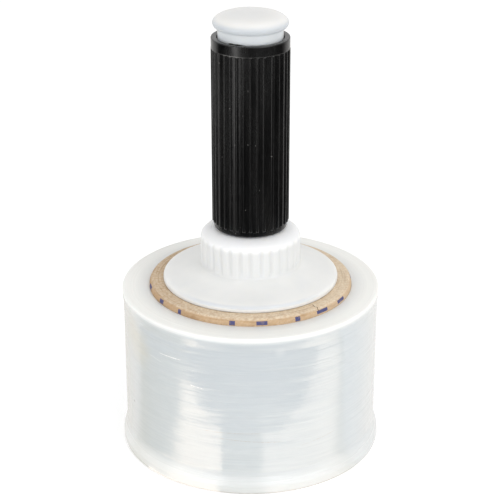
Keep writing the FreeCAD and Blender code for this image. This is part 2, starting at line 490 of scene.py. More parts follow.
def capTone(flow, z):
    # painted shade: the rim and the neck below it are painted darker and cooler than the dome
    rim = whiteFinish["rim"]
    base = mixColour(flow, whiteFinish["capColour"], whiteFinish["capShade"])
    neckShadeEnd = (whiteFinish["neckShadeBelow"] - rim) * mm
    neckShade = rampOf(-z, neckShadeEnd - whiteFinish["neckShadeFade"], neckShadeEnd)
    base = mixColour(neckShade, base, whiteFinish["neckShadeColour"])
    return mixColour(layerMask(z, rim - 2.2, rim + 1.1, 1.1), base, whiteFinish["rimShadeColour"])


def hubTone(base, x, y, z):
    # painted shade on the collar, painted light on the shoulder, a painted cool shade along the front of the
    # flange's edge, and a painted shadow line under the flange's edge
    base = mixColour(layerMask(z, *whiteFinish["collarShadeBand"]) * 0.8, base, whiteFinish["collarShadeColour"])
    base = mixColour(rampOf(z, *whiteFinish["shoulder"]), base, whiteFinish["shoulderLightColour"])
    onEdge = rampOf(radiusOf(x, y), *whiteFinish["edge"])
    edgeShade = layerMask(z, *whiteFinish["edgeShadeBand"]) * onEdge * rampOf(-y, *whiteFinish["front"])
    base = mixColour(edgeShade * 0.8, base, whiteFinish["edgeShadeColour"])
    return mixColour(layerMask(z, *whiteFinish["flangeShadowBand"]) * onEdge * 0.7, base, whiteFinish["flangeShadowColour"])


def makeWhitePlastic(name, seed, kind):
    material, shader, where = newMaterial(name)
    x, y, z = split(where)
    flow = noiseMask(where, (60.0, 60.0, 90.0), 4.0, 0.3, 0.75, seed)
    fine = noiseMask(where, (900.0, 900.0, 900.0), 3.0, 0.3, 0.7)
    grime = speckMask(where, (330.0, 330.0, 330.0), 0.10, 0.04)
    if kind == "cap":
        base = capTone(flow, z)
    else:
        base = mixColour(flow, whiteFinish["colour"], whiteFinish["shadeColour"])
    if kind == "hub":
        base = hubTone(base, x, y, z)
    feed(shader, {
        "Base Color": mixColour(grime * 0.25, base, whiteFinish["grimeColour"]),
        "Roughness": flow * 0.10 + whiteFinish["roughness"] + fine * 0.05,
        "Subsurface Weight": whiteFinish["subsurface"],
        "Subsurface Radius": whiteFinish["subsurfaceRadii"],
        "Subsurface Scale": whiteFinish["subsurfaceScale"],
        "Normal": bumpFrom(flow + fine * 0.25, whiteFinish["grain"], 0.5),
    })
    return material


# stretch film, milky where many turns lie on each other
film = {
    "bore": 46.15, "radius": 58.1, "edgeRound": 1.0, "taperRounds": (4.0, 6.0),
    "footFlare": 1.75, "footHeight": 3.7, "footTaper": 6.4, "footRound": 1.5,
    "lipFlare": 0.5, "lipHeight": 2.6, "lipTaper": 4.0, "lipRound": 1.5,
    "turns": 16, "turnDepth": 0.07, "margin": 0.9, "columns": 360, "wave": 0.07,
}
filmFinish = {
    "colour": (0.600, 0.640, 0.665),
    "paleColour": (0.690, 0.720, 0.728),
    "grazingSheenColour": (0.775, 0.765, 0.735),
    "footLightColour": (0.735, 0.75, 0.745),
    "leftFootLightColour": (0.87, 0.875, 0.86),
    "endColour": (0.91, 0.91, 0.88),
    "coreShadeOnEnd": (0.765, 0.78, 0.775),
    "turnColour": (0.78, 0.78, 0.76),
    # colour of the wrinkles, and of the painted contact shadow at the bottom edge
    "wrinkleAndShadowColour": (0.56, 0.50, 0.44),
    "scratchColour": (0.98, 0.98, 0.97),
    "darkColour": (0.20, 0.19, 0.18),
    "lightColour": (0.86, 0.87, 0.86),
    "warmReflectionColour": (0.735, 0.70, 0.60),
    "scratches": [
        ((-43.9, 61.5), (-31.0, 61.7), 0.17), ((-27.2, 50.9), (-20.1, 50.0), 0.17),
        ((-50.0, 58.5), (-42.0, 57.2), 0.07),
    ],
    "wrinkles": [
        ((-14.9, 27.0), (15.3, 24.9), 0.16), ((-22.2, 29.7), (5.2, 30.0), 0.12),
        ((22.0, 21.5), (41.0, 24.0), 0.10),
    ],
    "darkSpot": ((-65.7, 27.6), 0.9),
    "lightSpot": ((12.7, 69.0), 3.4),
    # painted warm reflection on the left of the wall
    "warmReflectionSpots": [((-67.0, 64.0), 12.0), ((-59.0, 59.0), 13.0)],
    "head": ((levels["filmTop"] - 3.4) * mm, (levels["filmTop"] - 0.5) * mm),
    "base": (-0.4 * mm, 0.2 * mm),
    "low": (-13.0 * mm, -5.0 * mm),
    "left": (24.0 * mm, 48.0 * mm),
    "contactShadow": (-1.3 * mm, -0.5 * mm),
    "outward": (46.5 * mm, 54.5 * mm),
    "roughness": 0.08,
    "coatRoughness": 0.07,
    "subsurface": 0.3,
    "subsurfaceRadii": (0.9, 1.0, 1.0),
    "subsurfaceScale": 0.004,
    "relief": 0.00008,
    "turnScale": 2200.0,
}


def filmMarksAndReflections(wall, x, y, z, wisp):
    # scratches, wrinkles, spots and a painted warm reflection, each at its place on the wall
    radius = film["radius"]
    for line in filmFinish["scratches"]:
        wall = mixColour(streakMask(x, y, z, radius, *line) * 0.9, wall, filmFinish["scratchColour"])
    for line in filmFinish["wrinkles"]:
        wall = mixColour(streakMask(x, y, z, radius, *line) * 0.45, wall, filmFinish["wrinkleAndShadowColour"])
    dark = spotMask(x, y, z, radius, *filmFinish["darkSpot"])
    light = spotMask(x, y, z, radius, *filmFinish["lightSpot"])
    wall = mixColour(dark * 0.6, wall, filmFinish["darkColour"])
    wall = mixColour(light * 0.22, wall, filmFinish["lightColour"])
    for spot in filmFinish["warmReflectionSpots"]:
        mask = spotMask(x, y, z, radius, *spot) * (wisp * 0.3 + 0.35)
        wall = mixColour(mask, wall, filmFinish["warmReflectionColour"])
    return wall


def makeFilm():
    material, shader, where = newMaterial("stretchFilm")
    x, y, z = split(where)
    onEnd = calc("MAXIMUM", rampOf(z, *filmFinish["head"]), rampOf(-z, *filmFinish["base"]))
    onWall = 1.0 - onEnd
    streak = noiseMask(where, (26.0, 26.0, 900.0), 4.0, 0.30, 0.72)
    hair = noiseMask(where, (70.0, 70.0, 2600.0), 3.0, 0.35, 0.7, 2.0)
    band = noiseMask(where, (9.0, 9.0, 190.0), 3.0, 0.3, 0.7, 6.0)
    wisp = noiseMask(where, (60.0, 60.0, 520.0), 5.0, 0.25, 0.75, 4.0)
    cloud = noiseMask(where, (30.0, 30.0, 40.0), 3.0, 0.3, 0.75)
    radius = radiusOf(x, y)
    rings = join(radius * filmFinish["turnScale"], x * 9.0, y * 9.0)
    turn = noiseMask(rings, (1.0, 1.0, 1.0), 3.0, 0.3, 0.7)
    # painted sheen: the wall is painted paler to its sides, where the eye meets it at a flat angle
    tree = treeOf([where])
    facing = Value(addNode(tree, "ShaderNodeLayerWeight", {"Blend": 0.5}).outputs["Facing"])
    pale = streak * 0.30 + hair * 0.30 + cloud * 0.25
    wall = mixColour(pale, filmFinish["colour"], filmFinish["paleColour"])
    wall = mixColour(rampOf(facing, 0.45, 0.92) * 0.85, wall, filmFinish["grazingSheenColour"])
    # painted light: the flared foot is painted paler, more so on the left
    low = rampOf(-z, *filmFinish["low"])
    wall = mixColour(low * 0.85, wall, filmFinish["footLightColour"])
    wall = mixColour(low * rampOf(-x, *filmFinish["left"]) * 0.9, wall, filmFinish["leftFootLightColour"])
    wall = filmMarksAndReflections(wall, x, y, z, wisp)
    # painted contact shadow along the bottom edge of the wall
    wall = mixColour(rampOf(-z, *filmFinish["contactShadow"]) * 0.45, wall, filmFinish["wrinkleAndShadowColour"])
    # painted shade on the end face near the core, lighter outward
    end = mixColour(rampOf(radius, *filmFinish["outward"]), filmFinish["coreShadeOnEnd"], filmFinish["endColour"])
    end = mixColour(turn * 0.3, end, filmFinish["turnColour"])
    relief = streak * 0.45 + wisp * 0.8 + hair * 0.10 + band * 2.2
    height = onWall * relief + onEnd * (turn * 0.35)
    flatter = 1.0 - rampOf(facing, 0.65, 0.93) * 0.9
    feed(shader, {
        "Base Color": mixColour(onEnd, wall, end),
        "Roughness": band * 0.10 + filmFinish["roughness"] + low * 0.20 + onEnd * 0.25,
        "Specular IOR Level": onWall * 0.6 + 0.4,
        "Coat Weight": onWall * (1.0 - rampOf(facing, 0.86, 0.99) * 0.7),
        "Coat Roughness": low * 0.16 + filmFinish["coatRoughness"],
        "Subsurface Weight": filmFinish["subsurface"],
        "Subsurface Radius": filmFinish["subsurfaceRadii"],
        "Subsurface Scale": filmFinish["subsurfaceScale"],
        "Normal": bumpFrom(height, filmFinish["relief"], flatter),
    })
    return material


# brown board of the core, with plain marks round its outer wall
coreFinish = {
    "colour": (0.665, 0.505, 0.345),
    "paleColour": (0.77, 0.66, 0.51),
    "darkColour": (0.33, 0.19, 0.09),
    # painted shade on the outer wall, in the crevice next to the film
    "wallShadeColour": (0.50, 0.31, 0.155),
    "markColour": (0.060, 0.072, 0.200),
    "crackColour": (0.10, 0.055, 0.03),
    "marksPerTurn": 21.0,
    "markFoot": 76.3 * mm,
    "markHead": 78.4 * mm,
    "wall": (45.0 * mm, 45.7 * mm),
    # painted shade on the left side and painted light on the right side
    "shadedLeftSide": (10.0 * mm, 40.0 * mm),
    "litRightSide": (22.0 * mm, 42.0 * mm),
    "plyScale": 1500.0,
    "crack": (41.0, 43.6, 2.3),
    "crackFoot": 78.0 * mm,
    "roughness": 0.85,
    "specular": 0.25,
    "grain": 0.00012,
}


def markMask(x, y, z):
    # blocks of uneven width and spacing round the wall, each with its own height
    cells = azimuthOf(x, y) * (coreFinish["marksPerTurn"] / tau)
    cell = calc("FLOOR", cells)
    chance = nodeValue("ShaderNodeTexWhiteNoise", {"W": cell}, "Color", noise_dimensions="1D")
    red, green, blue = split(chance)
    across = calc("LESS_THAN", abs(cells - cell - (green * 0.4 + 0.3)), red * 0.20 + 0.06)
    shown = calc("GREATER_THAN", blue, 0.42)
    above = calc("GREATER_THAN", z, red * 0.0007 + coreFinish["markFoot"])
    under = calc("LESS_THAN", z, coreFinish["markHead"])
    return across * shown * (above * under)


def crackMask(x, y, z):
    # a short ragged split in the end of the board, at an azimuth in degrees, a radius and half a length in mm
    azimuth, radius, length = coreFinish["crack"]
    turn = math.radians(azimuth)
    east = x - radius * mm * math.sin(turn)
    north = y + radius * mm * math.cos(turn)
    along = east * math.cos(turn) + north * math.sin(turn)
    across = east * math.sin(turn) - north * math.cos(turn)
    wander = calc("SINE", across * 2600.0) * 0.0003
    near = calc("LESS_THAN", abs(along - wander), 0.0002)
    short = calc("LESS_THAN", abs(across), length * mm)
    return near * short * calc("GREATER_THAN", z, coreFinish["crackFoot"])


def makeBoard():
    material, shader, where = newMaterial("coreBoard")
    x, y, z = split(where)
    radius = radiusOf(x, y)
    fibre = noiseMask(where, (900.0, 900.0, 1500.0), 4.0, 0.3, 0.68)
    blotch = noiseMask(where, (420.0, 420.0, 700.0), 5.0, 0.42, 0.74, 3.0)
    flecks = speckMask(where, (950.0, 950.0, 1300.0), 0.24, 0.07)
    rings = join(radius * coreFinish["plyScale"], x * 60.0, y * 60.0)
    ply = noiseMask(rings, (1.0, 1.0, 1.0), 2.0, 0.50, 0.75, 7.0)
    wall = rampOf(radius, *coreFinish["wall"])
    crack = crackMask(x, y, z)
    # the wall tone and the two side tones are painted shade and light; the rest is the board's own colour
    tones = [
        (wall * 0.62, "wallShadeColour"), (blotch * 0.28, "darkColour"), (ply * 0.50, "darkColour"),
        (flecks * 0.5, "darkColour"), (rampOf(-x, *coreFinish["shadedLeftSide"]) * 0.24, "darkColour"),
        (rampOf(x, *coreFinish["litRightSide"]) * 0.25, "paleColour"),
        (markMask(x, y, z) * wall * (0.95 - blotch * 0.35), "markColour"), (crack * 0.85, "crackColour"),
    ]
    base = mixColour(fibre, coreFinish["colour"], coreFinish["paleColour"])
    for mask, colour in tones:
        base = mixColour(mask, base, coreFinish[colour])
    feed(shader, {
        "Base Color": base,
        "Roughness": coreFinish["roughness"],
        "Specular IOR Level": coreFinish["specular"],
        "Normal": bumpFrom(fibre - blotch * 0.6 - crack * 2.0, coreFinish["grain"], 0.7),
    })
    return material


blackPlastic = makeBlackPlastic()
hubPlastic = makeWhitePlastic("hubPlastic", 0.0, "hub")
spindlePlastic = makeWhitePlastic("spindlePlastic", 5.0, "spindle")
capPlastic = makeWhitePlastic("capPlastic", 9.0, "cap")
stretchFilm = makeFilm()
coreBoard = makeBoard()
print("materials ready")

# paper core
core = {"bore": 38.1, "radius": 46.1, "outerRound": 2.2, "boreRound": 0.5, "columns": 288, "grain": 0.05}


def boardGrain(position):
    return noiseOf(vectorCalc("MULTIPLY", position, (260.0, 260.0, 420.0)), detail=3.0) - 0.62


def makeCore():
    outline = outlinePoints([
        (core["bore"], 0, core["boreRound"]),
        (core["radius"], 0, core["boreRound"]),
        (core["radius"], levels["coreTop"], core["outerRound"]),
        (core["bore"], levels["coreTop"], core["boreRound"]),
    ], step=1.6, arcSteps=5)
    piece = turnedMesh("paperCore", outline, evenAngles(core["columns"]))
    tree = reliefTree("boardGrain", "Grain", boardGrain)
    return runTree(piece, tree, {"Grain": core["grain"] * mm * 2}, coreBoard)


# wound film
def turnPoints(level, upward):
    inner = film["bore"] + film["margin"]
    width = (film["radius"] - film["margin"] - inner) / film["turns"]
    points = []
    for i in range(film["turns"]):
        depth = film["turnDepth"] * (0.5 + 0.5 * math.sin(i * 1.7))
        points.append((inner + (i + 0.25) * width, level - upward * depth))
        points.append((inner + (i + 0.75) * width, level))
    return points


def windingWave(position):
    slow = noiseOf(vectorCalc("MULTIPLY", position, (14.0, 14.0, 170.0)), detail=2.0)
    quick = noiseOf(vectorCalc("MULTIPLY", position, (22.0, 22.0, 700.0)), detail=1.0)
    return slow - 0.5 + (quick - 0.5) * 0.15


def makeFilmRoll():
    footTop = film["footHeight"] + film["footTaper"]
    lipLevel = levels["filmTop"] - film["lipHeight"]
    wall = film["radius"]
    foot = wall + film["footFlare"]
    lip = wall + film["lipFlare"]
    outline = outlinePoints([
        (film["bore"], 0),
        turnPoints(0, -1),
        (foot, 0, film["edgeRound"]),
        (foot, film["footHeight"], film["footRound"]),
        (wall, footTop, film["taperRounds"][0]),
        (wall, lipLevel - film["lipTaper"], film["taperRounds"][1]),
        (lip, lipLevel, film["lipRound"]),
        (lip, levels["filmTop"], film["edgeRound"]),
        list(reversed(turnPoints(levels["filmTop"], 1))),
        (film["bore"], levels["filmTop"]),
    ], step=0.8, arcSteps=6)
    piece = turnedMesh("filmRoll", outline, evenAngles(film["columns"]))
    tree = reliefTree("windingRelief", "Wave", windingWave)
    return runTree(piece, tree, {"Wave": film["wave"] * mm * 2}, stretchFilm)


# hub: flange, fluted collar and plug
hub = {
    "wall": 2.0, "flangeRadius": 39.7, "flangeEdge": 2.4, "edgeRound": 1.7, "footRound": 0.45,
    "coneRise": 5.8, "collarRadius": 22.575, "baseRound": 1.1, "seat": 13.5, "seatFlat": 4.0,
    "shoulderInner": 15.45, "shoulderHeight": 4.57, "shoulderPower": 1.25, "hollowRound": 1.0,
    "plugRadius": 37.75, "leadIn": 1.0, "flutes": 30, "fluteRadius": 1.6, "fluteDepth": 0.55,
    "fluteFoot": 2.0, "columnsPerFlute": 16, "crestRound": 0.35,
}


def shoulderPoints(count=18):
    width = hub["collarRadius"] - hub["shoulderInner"]
    points = []
    for i in range(count + 1):
        angle = math.pi / 2 * i / count
        reach = width * max(0.0, math.cos(angle)) ** hub["shoulderPower"]
        drop = hub["shoulderHeight"] * (1 - math.sin(angle) ** hub["shoulderPower"])
        points.append((hub["shoulderInner"] + reach, levels["collarTop"] - drop))
    return points


def fluteTree():
    # a ring of upright cutters with round ends takes its flutes out of the collar
    given = geometryTree("fluteRing", ["Count", "Ring Radius", "Cutter Radius", "Foot", "Crest Round"])
    x, y, z = split(fieldOf(given, "Position"))
    radius = radiusOf(x, y)
    cutter, ring = given["Cutter Radius"], given["Ring Radius"]
    pitch = tau / given["Count"]
    half = pitch * 0.5
    local = calc("FLOORED_MODULO", azimuthOf(x, y) + half, pitch) - half
    below = calc("MAXIMUM", given["Foot"] - z, 0.0)
    side = ring * calc("SINE", local)
    room = cutter * cutter - below * below - side * side
    groove = ring * calc("COSINE", local) - calc("SQRT", calc("MAXIMUM", room, 0.0))
    share = calc("SMOOTH_MIN", radius, groove, given["Crest Round"]) / calc("MAXIMUM", radius, tiny)
    level = calc("GREATER_THAN", z, given["Foot"] - cutter)
    inside = calc("LESS_THAN", radius, ring)
    return closeTree(given, Selection=level * inside, Position=join(x * share, y * share, z))


def makeHub():
    coneFoot = levels["coreTop"] + hub["flangeEdge"]
    collarFoot = coneFoot + hub["coneRise"]
    plateUnder = levels["collarTop"] - hub["wall"]
    collarBore = hub["collarRadius"] - hub["fluteDepth"] - hub["wall"]
    plugBore = hub["plugRadius"] - hub["wall"]
    slope = hub["coneRise"] / (hub["flangeRadius"] - hub["collarRadius"])
    outline = outlinePoints([
        (hub["seat"], plateUnder),
        (hub["seat"] + hub["seatFlat"], plateUnder),
        (collarBore, plateUnder - hub["shoulderHeight"] / 2),
        (collarBore, collarFoot - hub["wall"], hub["wall"]),
        (plugBore, coneFoot - hub["wall"] + slope * (hub["flangeRadius"] - plugBore), hub["hollowRound"]),
        (plugBore, levels["plugBottom"]),
        (hub["plugRadius"] - hub["leadIn"] / 2, levels["plugBottom"]),
        (hub["plugRadius"], levels["plugBottom"] + hub["leadIn"]),
        (hub["plugRadius"], levels["coreTop"]),
        (hub["flangeRadius"], levels["coreTop"], hub["footRound"]),
        (hub["flangeRadius"], coneFoot, hub["edgeRound"]),
        (hub["collarRadius"], collarFoot, hub["baseRound"]),
        shoulderPoints(),
        (hub["seat"], levels["collarTop"]),
    ], step=1.1, arcSteps=6)
    piece = turnedMesh("hubMoulding", outline, evenAngles(hub["flutes"] * hub["columnsPerFlute"]))
    sizes = {
        "Count": hub["flutes"],
        "Ring Radius": (hub["collarRadius"] + hub["fluteRadius"] - hub["fluteDepth"]) * mm,
        "Cutter Radius": hub["fluteRadius"] * mm,
        "Foot": (collarFoot + hub["fluteFoot"]) * mm,
        "Crest Round": hub["crestRound"] * mm,
    }
    return runTree(piece, fluteTree(), sizes, hubPlastic)


# spindle
spindle = {
    "radius": 13.45, "bore": 11.45, "footRadius": 17.05, "footHeight": 2.0, "footRound": 0.5, "columns": 96,
}


def makeSpindle():
    seat = levels["collarTop"] - hub["wall"]
    outline = outlinePoints([
        (spindle["bore"], seat - spindle["footHeight"]),
        (spindle["footRadius"], seat - spindle["footHeight"], spindle["footRound"]),
        (spindle["footRadius"], seat),
        (spindle["radius"], seat),
        (spindle["radius"], levels["spindleTop"]),
        (spindle["bore"], levels["spindleTop"]),
    ], step=4.0)
    piece = turnedMesh("spindleTube", outline, evenAngles(spindle["columns"]))
    piece.data.materials.append(spindlePlastic)
    return piece


# grip sleeve
def ribTree():
    # round ribs in two halves, with a wider gap at each parting line and a round foot
    labels = ["Height", "Rib Radius", "Pitch", "Gap", "Parting", "Foot", "Ring Foot", "Wall Radius", "Fillet"]
    given = geometryTree("ribRing", labels)
    x, y, z = split(fieldOf(given, "Position"))
    radius = radiusOf(x, y)
    rib = given["Rib Radius"]
    halfPitch = given["Pitch"] * 0.5
    within = calc("FLOORED_MODULO", azimuthOf(x, y) - given["Parting"], math.pi)
    wrapped = calc("FLOORED_MODULO", within - given["Gap"] * 0.5 + halfPitch, given["Pitch"])
    across = (wrapped - halfPitch) * radius
    below = calc("MAXIMUM", given["Foot"] - z, 0.0)
    bulge = calc("SQRT", calc("MAXIMUM", rib * rib - across * across - below * below, 0.0))
    lift = calc("SMOOTH_MAX", bulge - (rib - given["Height"]), 0.0, given["Fillet"])
    share = lift / calc("MAXIMUM", radius, tiny)
    outside = calc("GREATER_THAN", radius, given["Wall Radius"] - slack)
    belowRing = calc("LESS_THAN", z, given["Ring Foot"] + slack)
    return closeTree(given, Selection=outside * belowRing, Offset=join(x * share, y * share, 0.0))


gap = 180 - (grip["ribsPerHalf"] - 1) * grip["pitch"]


def ribColumns():
    # columns of the sleeve's mesh: close together across each rib
    ribHalf = math.degrees(grip["ribRadius"] * 1.12 / grip["radius"])
    columns = []
    for half in range(2):
        first = grip["parting"] + 180 * half + gap / 2
        for i in range(grip["ribsPerHalf"]):
            crest = first + i * grip["pitch"]
            columns += [crest + ribHalf * math.sin(math.pi / 2 * k / 7) for k in range(-7, 8)]
            width = gap if i == grip["ribsPerHalf"] - 1 else grip["pitch"]
            columns += [crest + ribHalf + (width - 2 * ribHalf) * k / 4 for k in (1, 2, 3)]
    return np.radians(np.array(columns))


def makeSleeve():
    low = levels["gripBottom"]
    high = low + grip["length"]
    wallFoot = low + grip["landHeight"] + grip["radius"] - grip["landRadius"]
    foot = low + grip["landHeight"] + grip["ribMargin"] + grip["ribRadius"]
    ends = [grip["ribRadius"] * math.cos(math.pi / 2 * k / 7) for k in range(8)]
    wall = [(grip["radius"], foot - e) for e in ends]
    wall += [(grip["radius"], foot + (ringFoot - foot) * k / 12) for k in range(1, 12)]
    outline = outlinePoints([
        (grip["bore"], low + grip["chamfer"]),
        (grip["bore"] + grip["chamfer"], low),
        (grip["landRadius"], low, grip["edgeRound"]),
        (grip["landRadius"], low + grip["landHeight"]),
        (grip["radius"], wallFoot),
        wall,
        (grip["radius"], ringFoot),
        [(grip["ringRadius"], ringFoot + grip["ringStep"] + 0.12 * k) for k in range(3)],
        [(grip["ringRadius"], high - grip["edgeRound"] - 0.15 * k) for k in (12, 8, 4, 2, 1)],
        (grip["ringRadius"], high, grip["edgeRound"]),
        (grip["mouth"], high, grip["edgeRound"]),
        (grip["mouth"], high - grip["mouthDepth"]),
        (grip["bore"], high - grip["mouthDepth"] - grip["mouthChamfer"]),
    ], step=9.0, arcSteps=5)
    piece = turnedMesh("gripSleeve", outline, ribColumns())
    sizes = {
        "Height": grip["ribHeight"] * mm,
        "Rib Radius": grip["ribRadius"] * mm,
        "Pitch": math.radians(grip["pitch"]),
        "Gap": math.radians(gap),
        "Parting": math.radians(grip["parting"]),
        "Foot": foot * mm,
        "Ring Foot": ringFoot * mm,
        "Wall Radius": grip["radius"] * mm,
        "Fillet": grip["fillet"] * mm,
    }
    return runTree(piece, ribTree(), sizes, blackPlastic)


flash = {"start": -40.0, "sweep": 31.0, "width": 0.55, "height": 0.4, "steps": 40, "sharp": 60}


def flashCorners(share):
    # one section of the flash, (inward from the mouth, up from it) in mm
    swell = min(1.0, 6 * share, 2.5 * (1 - share)) * (0.8 + 0.2 * math.sin(9 * share + 1))
    width, rise = flash["width"], flash["height"] * swell
    below = [(0.02, -0.3), (width, -0.12)]
    return below + [(width * 0.75, rise * 0.75), (width * 0.35, rise), (0.06, rise * 0.6)]


def makeFlash():
    # thin flash that the mould left on the sleeve's mouth
    high = levels["gripBottom"] + grip["length"]
    count = flash["steps"]
    corners = []
    for i in range(count + 1):
        azimuth = math.radians(flash["start"] + flash["sweep"] * (i / count))
        section = flashCorners(i / count)
        for inward, lift in section:
            radius = (grip["mouth"] + inward) * mm
            corners.append((radius * math.sin(azimuth), -radius * math.cos(azimuth), (high + lift) * mm))
    size = len(section)
    faces = [list(range(size)), [count * size + k for k in reversed(range(size))]]
    for i in range(count):
        for k in range(size):
            following = (k + 1) % size
            faces.append([i * size + k, (i + 1) * size + k, (i + 1) * size + following, i * size + following])
    mesh = bpy.data.meshes.new("gripFlash")
    mesh.from_pydata(corners, [], faces)
    piece = cleaned("gripFlash", mesh, flash["sharp"])
    piece.data.materials.append(blackPlastic)
    return piece


# end cap
cap = {
    "headRadius": 16.55, "dome": 3.85, "domePower": 5.0, "domeRoot": 0.65, "domeSpread": 1.6,
    "underside": 2.4, "wall": 2.4, "play": 4.05, "neckRadius": 14.25, "neckRound": 0.3,
    "plugRadius": 11.35, "plugWall": 2.0, "leadIn": 0.8, "beadHeight": 0.4, "beadFromEnd": 3.6,
    "columns": 160,
}


def makeCap():
    headEdge = levels["gripBottom"] + grip["length"] + cap["play"] + cap["underside"]
    bead = levels["capBottom"] + cap["beadFromEnd"]
    plugBore = cap["plugRadius"] - cap["plugWall"]
    hollowTop = headEdge + cap["dome"] - cap["wall"]
    overhang = cap["headRadius"] - cap["neckRadius"]
    underside = []
    for i in range(9):
        a = math.pi / 2 * i / 8
        rise = cap["underside"] * math.cos(a)
        underside.append((cap["neckRadius"] + overhang * math.sin(a), headEdge - rise))
    dome = []
    for i in range(1, 25):
        share = 1 - (i / 24) ** cap["domeSpread"]
        height = cap["dome"] * (1 - share ** cap["domePower"]) ** cap["domeRoot"]
        dome.append((cap["headRadius"] * share, headEdge + height))
    outline = outlinePoints([
        (0, hollowTop),
        (plugBore, hollowTop, cap["plugWall"]),
        (plugBore, levels["capBottom"]),
        (cap["plugRadius"] - cap["leadIn"] / 2, levels["capBottom"]),
        (cap["plugRadius"], levels["capBottom"] + cap["leadIn"]),
        (cap["plugRadius"], bead - cap["beadHeight"]),
        (cap["plugRadius"] + cap["beadHeight"], bead),
        (cap["plugRadius"], bead + cap["beadHeight"]),
        (cap["plugRadius"], levels["spindleTop"]),
        (cap["neckRadius"], levels["spindleTop"], cap["neckRound"]),
        underside,
        dome,
    ], step=2.0)
    piece = turnedMesh("endCap", outline, evenAngles(cap["columns"]))
    piece.data.materials.append(capPlastic)
    return piece


pieces = {
    "paper_core": ("roll", "core_board", makeCore()),
    "film_roll": ("roll", "film", makeFilmRoll()),
    "hub": ("roll", "white_plastic", makeHub()),
    "spindle": ("roll", "spindle_plastic", makeSpindle()),
    "grip_sleeve": ("grip", "black_plastic", makeSleeve()),
    "end_cap": ("roll", "cap_plastic", makeCap()),
}
for node, (body, slotName, piece) in pieces.items():
    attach(piece, body)
    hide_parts(node)
    print(piece.name, len(piece.data.polygons), "faces")
flashPiece = makeFlash()
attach(flashPiece, "grip")
print("pieces ready")

# floor, lights and camera
stageSizes = {
    "floorHalf": 3.0,
    "floorColour": (0.90, 0.90, 0.90),
    "floorRoughness": 0.7,
    "floorLift": 0.30,
    "skyStrength": 0.73,
}


def addSquare(name, half, level):
    mesh = bpy.data.meshes.new(name)
    corners = [(-half, -half, level), (half, -half, level), (half, half, level), (-half, half, level)]
    mesh.from_pydata(corners, [], [(0, 1, 2, 3)])
    square = bpy.data.objects.new(name, mesh)
    bpy.context.scene.collection.objects.link(square)
    return square


def directRay(tree):
    # 1 for rays from the camera and for glossy ones
    path = tree.nodes.new("ShaderNodeLightPath")
    return calc("MAXIMUM", Value(path.outputs["Is Camera Ray"]), Value(path.outputs["Is Glossy Ray"]))


def makeFloor():
    floor = addSquare("studioFloor", stageSizes["floorHalf"], 0)
    material, shader, where = newMaterial("paleFloor")
    feed(shader, {
        "Base Color": stageSizes["floorColour"],
        "Roughness": stageSizes["floorRoughness"],
        "Specular IOR Level": 0.0,
        "Emission Color": (1.0, 1.0, 1.0),
        "Emission Strength": directRay(material.node_tree) * stageSizes["floorLift"],
    })
    floor.data.materials.append(material)


# what glossy surfaces see below them: a dark table with a white board that is lit in two fields
# a line is (x, y, azimuth) in mm and degrees; a field lies past its first line and short of its second
tableView = {
    "reach": 2.4,
    "height": 0.0004,
    "soft": 1.5,
    "board": {"front": -106.0, "left": -155.0, "right": 175.0, "ragged": 11.0},
    "tableLight": (0.10, 0.12, 0.15),
    "boardLight": (0.47, 0.45, 0.34),
    "besideLight": (0.40, 0.42, 0.42),
    "backLightLeft": (0.80, 0.79, 0.755),
    "backLightRight": (0.88, 0.88, 0.87),
    "fields": [
        {
            "from": (-42, -46, -60), "to": (-14, -58, -26), "light": (2.38, 2.04, 1.66),
            "soft": (4.0, 1.0), "ragged": (46.0, 7.0), "reach": 150.0,
        },
        {
            "from": (6, -61, 11), "to": (43, -43, 88), "light": (1.55, 1.38, 1.18),
            "soft": (1.6, 9.0), "ragged": (9.0, 24.0), "reach": 400.0,
        },
    ],
    "backLeft": (-80, -10, -117),
    "backRight": (69, -37, 90),
    "backSoft": 6.0,
    "backRagged": 4.0,
    "reachRagged": 12.0,
    "reachSoft": 5.0,
    "far": 245.0,
    "farSoft": 10.0,
    "farBack": (-111, 115),
    "farTableLight": (0.035, 0.035, 0.035),
    "farBackLight": (0.95, 0.94, 0.92),
    "farField": (-52, -34),
    "farFieldLight": (3.0, 2.95, 2.9),
    "farFieldSoft": 3.0,
    "farBackSofts": (8.0, 12.0),
    "ringRadii": (395.0, 440.0),
    "gripShare": 0.22,
}


def stepMask(value, edge, soft):
    return rampOf(value, edge - soft, edge + soft)


def jitterOf(x, y):
    # -1 to 1, changing quickly with the distance from the axis: the film shows it as fine streaks
    noise = noiseOf(join(radiusOf(x, y) * 0.33, azimuthOf(x, y) * 3.0, 0.0), detail=3.0, roughness=0.6)
    return (noise - 0.5) * 2.0


def pastLine(x, y, line, soft, jitter, ragged):
    # 1 on the side of the line where the azimuth is larger
    turn = math.radians(line[2])
    past = (x - line[0]) * math.cos(turn) + (y - line[1]) * math.sin(turn) + jitter * ragged
    return stepMask(past, 0.0, soft)


def farLight(x, y, near):
    # what the grip and the cap see further out, by azimuth alone
    azimuth = azimuthOf(x, y) * (360 / tau)
    radius = radiusOf(x, y)
    (start, end), soft = tableView["farField"], tableView["farFieldSoft"]
    (left, right), (leftSoft, rightSoft) = tableView["farBack"], tableView["farBackSofts"]
    inField = stepMask(azimuth, start, soft) * (1.0 - stepMask(azimuth, end, soft))
    behind = calc("MAXIMUM", 1.0 - stepMask(azimuth, left, leftSoft), stepMask(azimuth, right, rightSoft))
    # the ring sees the field in full, the grip below it only in part
    least = tableView["gripShare"]
    inField = inField * (rampOf(radius, *tableView["ringRadii"]) * (1 - least) + least)
    light = mixColour(inField, tableView["farTableLight"], tableView["farFieldLight"])
    light = mixColour(behind, light, tableView["farBackLight"])
    return mixColour(stepMask(radius, tableView["far"], tableView["farSoft"]), near, light)


